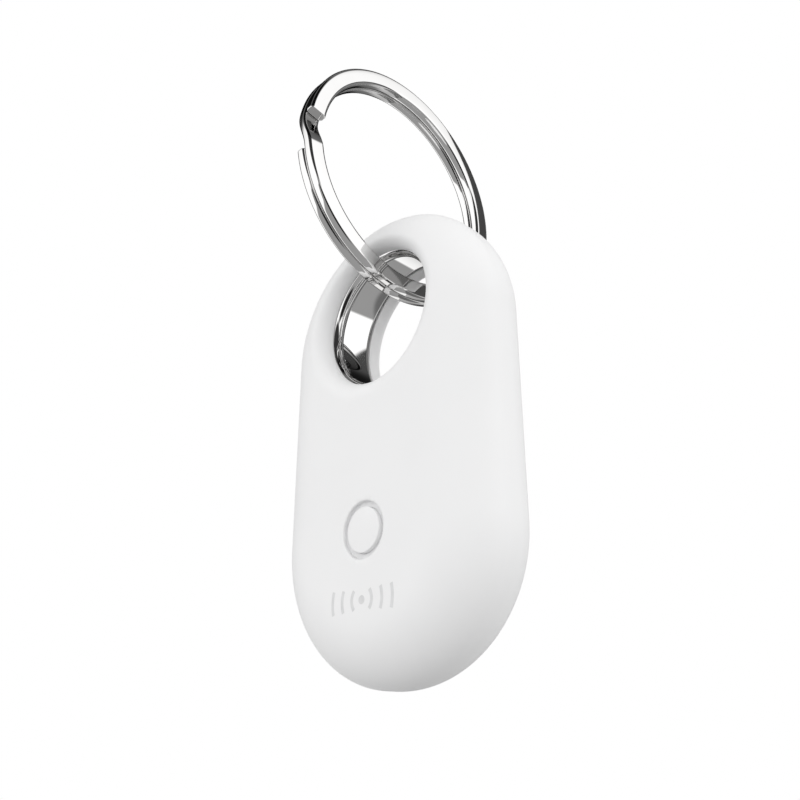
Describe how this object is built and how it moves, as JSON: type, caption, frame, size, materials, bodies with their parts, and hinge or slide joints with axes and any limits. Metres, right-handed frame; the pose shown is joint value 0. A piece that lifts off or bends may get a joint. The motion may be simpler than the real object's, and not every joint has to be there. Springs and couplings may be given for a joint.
{
  "type": "bluetooth tracker tag",
  "caption": "Pebble-shaped key-ring tracker with a metal-lined eyelet, a round push button, a coin cell under a twist-off door and a steel split ring.",
  "frame": {"origin": "centre of the eyelet, half way through the case", "axes": "+Z along the case towards the split ring, -Y out of the front face, +Y out of the back, +X to the right seen from the front"},
  "size_m": [0.0294, 0.03, 0.0727],
  "materials": {
    "ring_chrome": "polished nickel plating",
    "shell_white": "fine matte moulding",
    "cover_white": "fine matte moulding",
    "liner_chrome": "polished",
    "seal_grey": "satin silicone",
    "button_white": "fine matte moulding",
    "membrane_grey": "satin silicone",
    "spring_steel": "rolled",
    "board_green": "solder resist",
    "chip_black": "moulded epoxy",
    "crystal_can": "plated",
    "antenna_ceramic": "fired ceramic",
    "capacitor_tan": "fired ceramic",
    "foam_black": "fine foam",
    "sounder_brass": "rolled",
    "carrier_black": "moulded",
    "screw_steel": "zinc plated",
    "cell_steel": "nickel plated"
  },
  "bodies": {
    "key_ring": {"split_ring": "ring_chrome"},
    "housing": {"front_shell": "shell_white", "rear_cover": "cover_white", "eyelet_liner": "liner_chrome", "cover_gasket": "seal_grey", "button_membrane": "membrane_grey", "dome_switch": "spring_steel", "circuit_board": "board_green", "radio_chip": "chip_black", "main_crystal": "crystal_can", "clock_crystal": "crystal_can", "power_inductor": "chip_black", "chip_antenna": "antenna_ceramic", "capacitors": "capacitor_tan", "sounder_tape": "foam_black", "sounder_plate": "sounder_brass", "sounder_ceramic": "antenna_ceramic", "sounder_contacts": "spring_steel", "cell_carrier": "carrier_black", "board_screws": "screw_steel", "negative_contact": "spring_steel", "positive_contact": "spring_steel", "cell_can": "cell_steel", "cell_cap": "cell_steel", "cell_gasket": "seal_grey"},
    "button": {"button_cap": "button_white"},
    "cell_door": {"battery_door": "cover_white", "door_seal": "seal_grey", "door_pad": "foam_black"}
  },
  "joints": [
    {"name": "tag_swing", "type": "hinge", "parent": "key_ring", "child": "housing", "pos_m": [0, 0, 0], "axis": [0, 1, 0], "range_deg": [-148, 148]},
    {"name": "button_press", "type": "slide", "parent": "housing", "child": "button", "axis": [0, 1, 0], "range_m": [0, 0.00025], "stiffness_N_per_m": 4000, "deforming": ["button_membrane", "dome_switch"]},
    {"name": "door_twist", "type": "hinge", "parent": "housing", "child": "cell_door", "pos_m": [0, 0, -0.0241], "axis": [0, 1, 0], "range_deg": [0, 45]}
  ]
}
